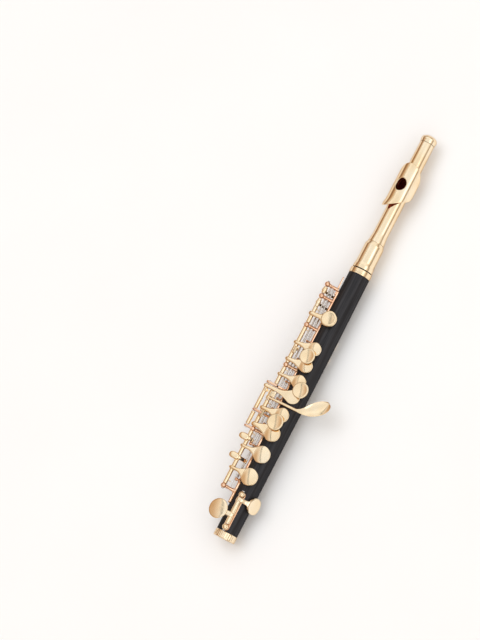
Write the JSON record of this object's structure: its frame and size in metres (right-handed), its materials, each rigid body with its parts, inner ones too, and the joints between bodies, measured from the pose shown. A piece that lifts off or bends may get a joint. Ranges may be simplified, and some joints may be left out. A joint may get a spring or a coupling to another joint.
{
  "type": "piccolo",
  "caption": "Piccolo: black body joint with rod-mounted key work, and a metal head joint with barrel, lip plate and crown.",
  "frame": {"origin": "centre of the lowest point's plane under the box centre", "axes": "+X along the bore from the foot end to the crown, +Z towards the key tops, +Y towards the player's side, where the key rods are"},
  "size_m": [0.324, 0.0506, 0.0309],
  "materials": {
    "gold_plate": "polished",
    "rose_plate": "polished",
    "black_body": "satin",
    "steel": "polished",
    "cork": "matte",
    "pad_skin": "satin"
  },
  "bodies": {
    "body_joint": {"body_tube": "black_body", "foot_ring": "gold_plate", "socket_ring": "gold_plate", "tenon_cork": "cork", "main_rib": "rose_plate", "main_rod_lower": "steel", "main_rod_upper": "steel", "outer_rod": "steel", "outer_rod_sleeve": "gold_plate", "d_sharp_rib": "rose_plate", "d_sharp_rod": "steel", "thumb_rib": "rose_plate", "thumb_rod": "steel", "needle_spring_1": "steel", "needle_spring_2": "steel", "needle_spring_3": "steel", "needle_spring_4": "steel"},
    "head_socket": {"head_barrel": "gold_plate"},
    "head_joint": {"head_tube": "gold_plate", "lip_plate": "gold_plate", "lip_riser": "gold_plate"},
    "crown": {"crown": "gold_plate"},
    "stopper": {"stopper_cork": "cork", "stopper_screw": "steel"},
    "d_key": {"d_key": "gold_plate", "d_pad": "pad_skin"},
    "e_key": {"e_key": "gold_plate", "e_pad": "pad_skin"},
    "f_key": {"f_key": "gold_plate", "f_pad": "pad_skin", "f_finger_disc": "gold_plate"},
    "f_sharp_key": {"f_sharp_key": "gold_plate", "f_sharp_pad": "pad_skin"},
    "g_sharp_key": {"g_sharp_key": "gold_plate", "g_sharp_pad": "pad_skin"},
    "g_sharp_lever": {"g_sharp_lever": "gold_plate"},
    "g_key": {"g_key": "gold_plate", "g_pad": "pad_skin", "g_finger_disc": "gold_plate"},
    "a_key": {"a_key": "gold_plate", "a_pad": "pad_skin", "a_finger_disc": "gold_plate"},
    "b_flat_key": {"b_flat_key": "gold_plate", "b_flat_pad": "pad_skin"},
    "c_key": {"c_key": "gold_plate", "c_pad": "pad_skin"},
    "d_sharp_key": {"d_sharp_key": "gold_plate", "d_sharp_pad": "pad_skin"},
    "trill_lever_lower": {"trill_lever_lower": "gold_plate"},
    "trill_lever_upper": {"trill_lever_upper": "gold_plate"},
    "trill_cup_lower": {"trill_cup_lower": "gold_plate", "trill_pad_lower": "pad_skin"},
    "trill_cup_upper": {"trill_cup_upper": "gold_plate", "trill_pad_upper": "pad_skin"},
    "thumb_b_key": {"thumb_b_key": "gold_plate", "thumb_b_pad": "pad_skin"},
    "thumb_b_flat_key": {"thumb_b_flat_key": "gold_plate", "thumb_b_flat_pad": "pad_skin"}
  },
  "joints": [
    {"name": "tuning_slide", "type": "slide", "parent": "body_joint", "child": "head_socket", "axis": [1, 0, 0], "range_m": [0, 0.008]},
    {"name": "head_turn", "type": "hinge", "parent": "head_socket", "child": "head_joint", "pos_m": [0.074, 0.0039, 0.01337], "axis": [1, 0, 0], "range_deg": [-20, 20]},
    {"name": "crown_turn", "type": "hinge", "parent": "head_joint", "child": "crown", "pos_m": [0.158, 0.0039, 0.01337], "axis": [1, 0, 0], "range_deg": [-360, 360]},
    {"name": "stopper_travel", "type": "slide", "parent": "head_joint", "child": "stopper", "axis": [1, 0, 0], "range_m": [-0.0007, 0.0007]},
    {"name": "d_key_hinge", "type": "hinge", "parent": "body_joint", "child": "d_key", "pos_m": [-0.1161, 0.01856, 0.02357], "axis": [1, 0, 0], "range_deg": [0, 7], "stiffness_Nm_per_rad": 0.02, "springref_deg": -11.46},
    {"name": "e_key_hinge", "type": "hinge", "parent": "body_joint", "child": "e_key", "pos_m": [-0.0984, 0.01856, 0.02357], "axis": [1, 0, 0], "range_deg": [0, 7], "stiffness_Nm_per_rad": 0.02, "springref_deg": -11.46},
    {"name": "f_key_hinge", "type": "hinge", "parent": "body_joint", "child": "f_key", "pos_m": [-0.081, 0.01856, 0.02357], "axis": [1, 0, 0], "range_deg": [0, 7], "stiffness_Nm_per_rad": 0.02, "springref_deg": -11.46},
    {"name": "f_sharp_key_hinge", "type": "hinge", "parent": "body_joint", "child": "f_sharp_key", "pos_m": [-0.0681, 0.01856, 0.02357], "axis": [1, 0, 0], "range_deg": [0, 7], "stiffness_Nm_per_rad": 0.02, "springref_deg": -11.46},
    {"name": "g_key_hinge", "type": "hinge", "parent": "body_joint", "child": "g_key", "pos_m": [-0.0414, 0.01856, 0.02357], "axis": [1, 0, 0], "range_deg": [0, 7], "stiffness_Nm_per_rad": 0.02, "springref_deg": -11.46},
    {"name": "a_key_hinge", "type": "hinge", "parent": "body_joint", "child": "a_key", "pos_m": [-0.0292, 0.01856, 0.02357], "axis": [1, 0, 0], "range_deg": [0, 7], "stiffness_Nm_per_rad": 0.02, "springref_deg": -11.46},
    {"name": "b_flat_key_hinge", "type": "hinge", "parent": "body_joint", "child": "b_flat_key", "pos_m": [-0.0161, 0.01856, 0.02357], "axis": [1, 0, 0], "range_deg": [0, 7], "stiffness_Nm_per_rad": 0.02, "springref_deg": -11.46},
    {"name": "c_key_hinge", "type": "hinge", "parent": "body_joint", "child": "c_key", "pos_m": [0.0072, 0.01856, 0.02357], "axis": [1, 0, 0], "range_deg": [0, 7], "stiffness_Nm_per_rad": 0.02, "springref_deg": -11.46},
    {"name": "g_sharp_lever_hinge", "type": "hinge", "parent": "body_joint", "child": "g_sharp_lever", "pos_m": [-0.0598, 0.01856, 0.02357], "axis": [1, 0, 0], "range_deg": [0, 4], "stiffness_Nm_per_rad": 0.02, "springref_deg": -11.46},
    {"name": "g_sharp_key_hinge", "type": "hinge", "parent": "body_joint", "child": "g_sharp_key", "pos_m": [-0.053, 0.0235, 0.02497], "axis": [1, 0, 0], "range_deg": [-4, 0], "stiffness_Nm_per_rad": 0.02, "springref_deg": 11.46},
    {"name": "d_sharp_key_hinge", "type": "hinge", "parent": "body_joint", "child": "d_sharp_key", "pos_m": [-0.142, 0.0031, 0.02397], "axis": [1, 0, 0], "range_deg": [-9, 0], "stiffness_Nm_per_rad": 0.02, "springref_deg": 11.46},
    {"name": "trill_lever_lower_hinge", "type": "hinge", "parent": "body_joint", "child": "trill_lever_lower", "pos_m": [-0.107, 0.01425, 0.01812], "axis": [1, 0, 0], "range_deg": [-3.5, 0], "stiffness_Nm_per_rad": 0.02, "springref_deg": 11.46},
    {"name": "trill_lever_upper_hinge", "type": "hinge", "parent": "body_joint", "child": "trill_lever_upper", "pos_m": [-0.092, 0.0164, 0.01962], "axis": [1, 0, 0], "range_deg": [-3.5, 0], "stiffness_Nm_per_rad": 0.02, "springref_deg": 11.46},
    {"name": "trill_cup_lower_hinge", "type": "hinge", "parent": "body_joint", "child": "trill_cup_lower", "pos_m": [0.0166, 0.01856, 0.02357], "axis": [1, 0, 0], "range_deg": [0, 3.5], "stiffness_Nm_per_rad": 0.02, "springref_deg": -11.46},
    {"name": "trill_cup_upper_hinge", "type": "hinge", "parent": "body_joint", "child": "trill_cup_upper", "pos_m": [0.0264, 0.01856, 0.02357], "axis": [1, 0, 0], "range_deg": [0, 3.5], "stiffness_Nm_per_rad": 0.02, "springref_deg": -11.46},
    {"name": "thumb_b_key_hinge", "type": "hinge", "parent": "body_joint", "child": "thumb_b_key", "pos_m": [-0.004, 0.0148, 0.00617], "axis": [1, 0, 0], "range_deg": [-6.5, 0], "stiffness_Nm_per_rad": 0.02, "springref_deg": 11.46},
    {"name": "thumb_b_flat_key_hinge", "type": "hinge", "parent": "body_joint", "child": "thumb_b_flat_key", "pos_m": [-0.0155, 0.0148, 0.00617], "axis": [1, 0, 0], "range_deg": [-6.5, 0], "stiffness_Nm_per_rad": 0.02, "springref_deg": 11.46}
  ],
  "couplings": [
    {"joint": "f_sharp_key_hinge", "follows": "f_key_hinge", "ratio": 1},
    {"joint": "b_flat_key_hinge", "follows": "a_key_hinge", "ratio": 1},
    {"joint": "g_sharp_key_hinge", "follows": "g_sharp_lever_hinge", "ratio": -1},
    {"joint": "trill_cup_lower_hinge", "follows": "trill_lever_lower_hinge", "ratio": -1},
    {"joint": "trill_cup_upper_hinge", "follows": "trill_lever_upper_hinge", "ratio": -1}
  ]
}
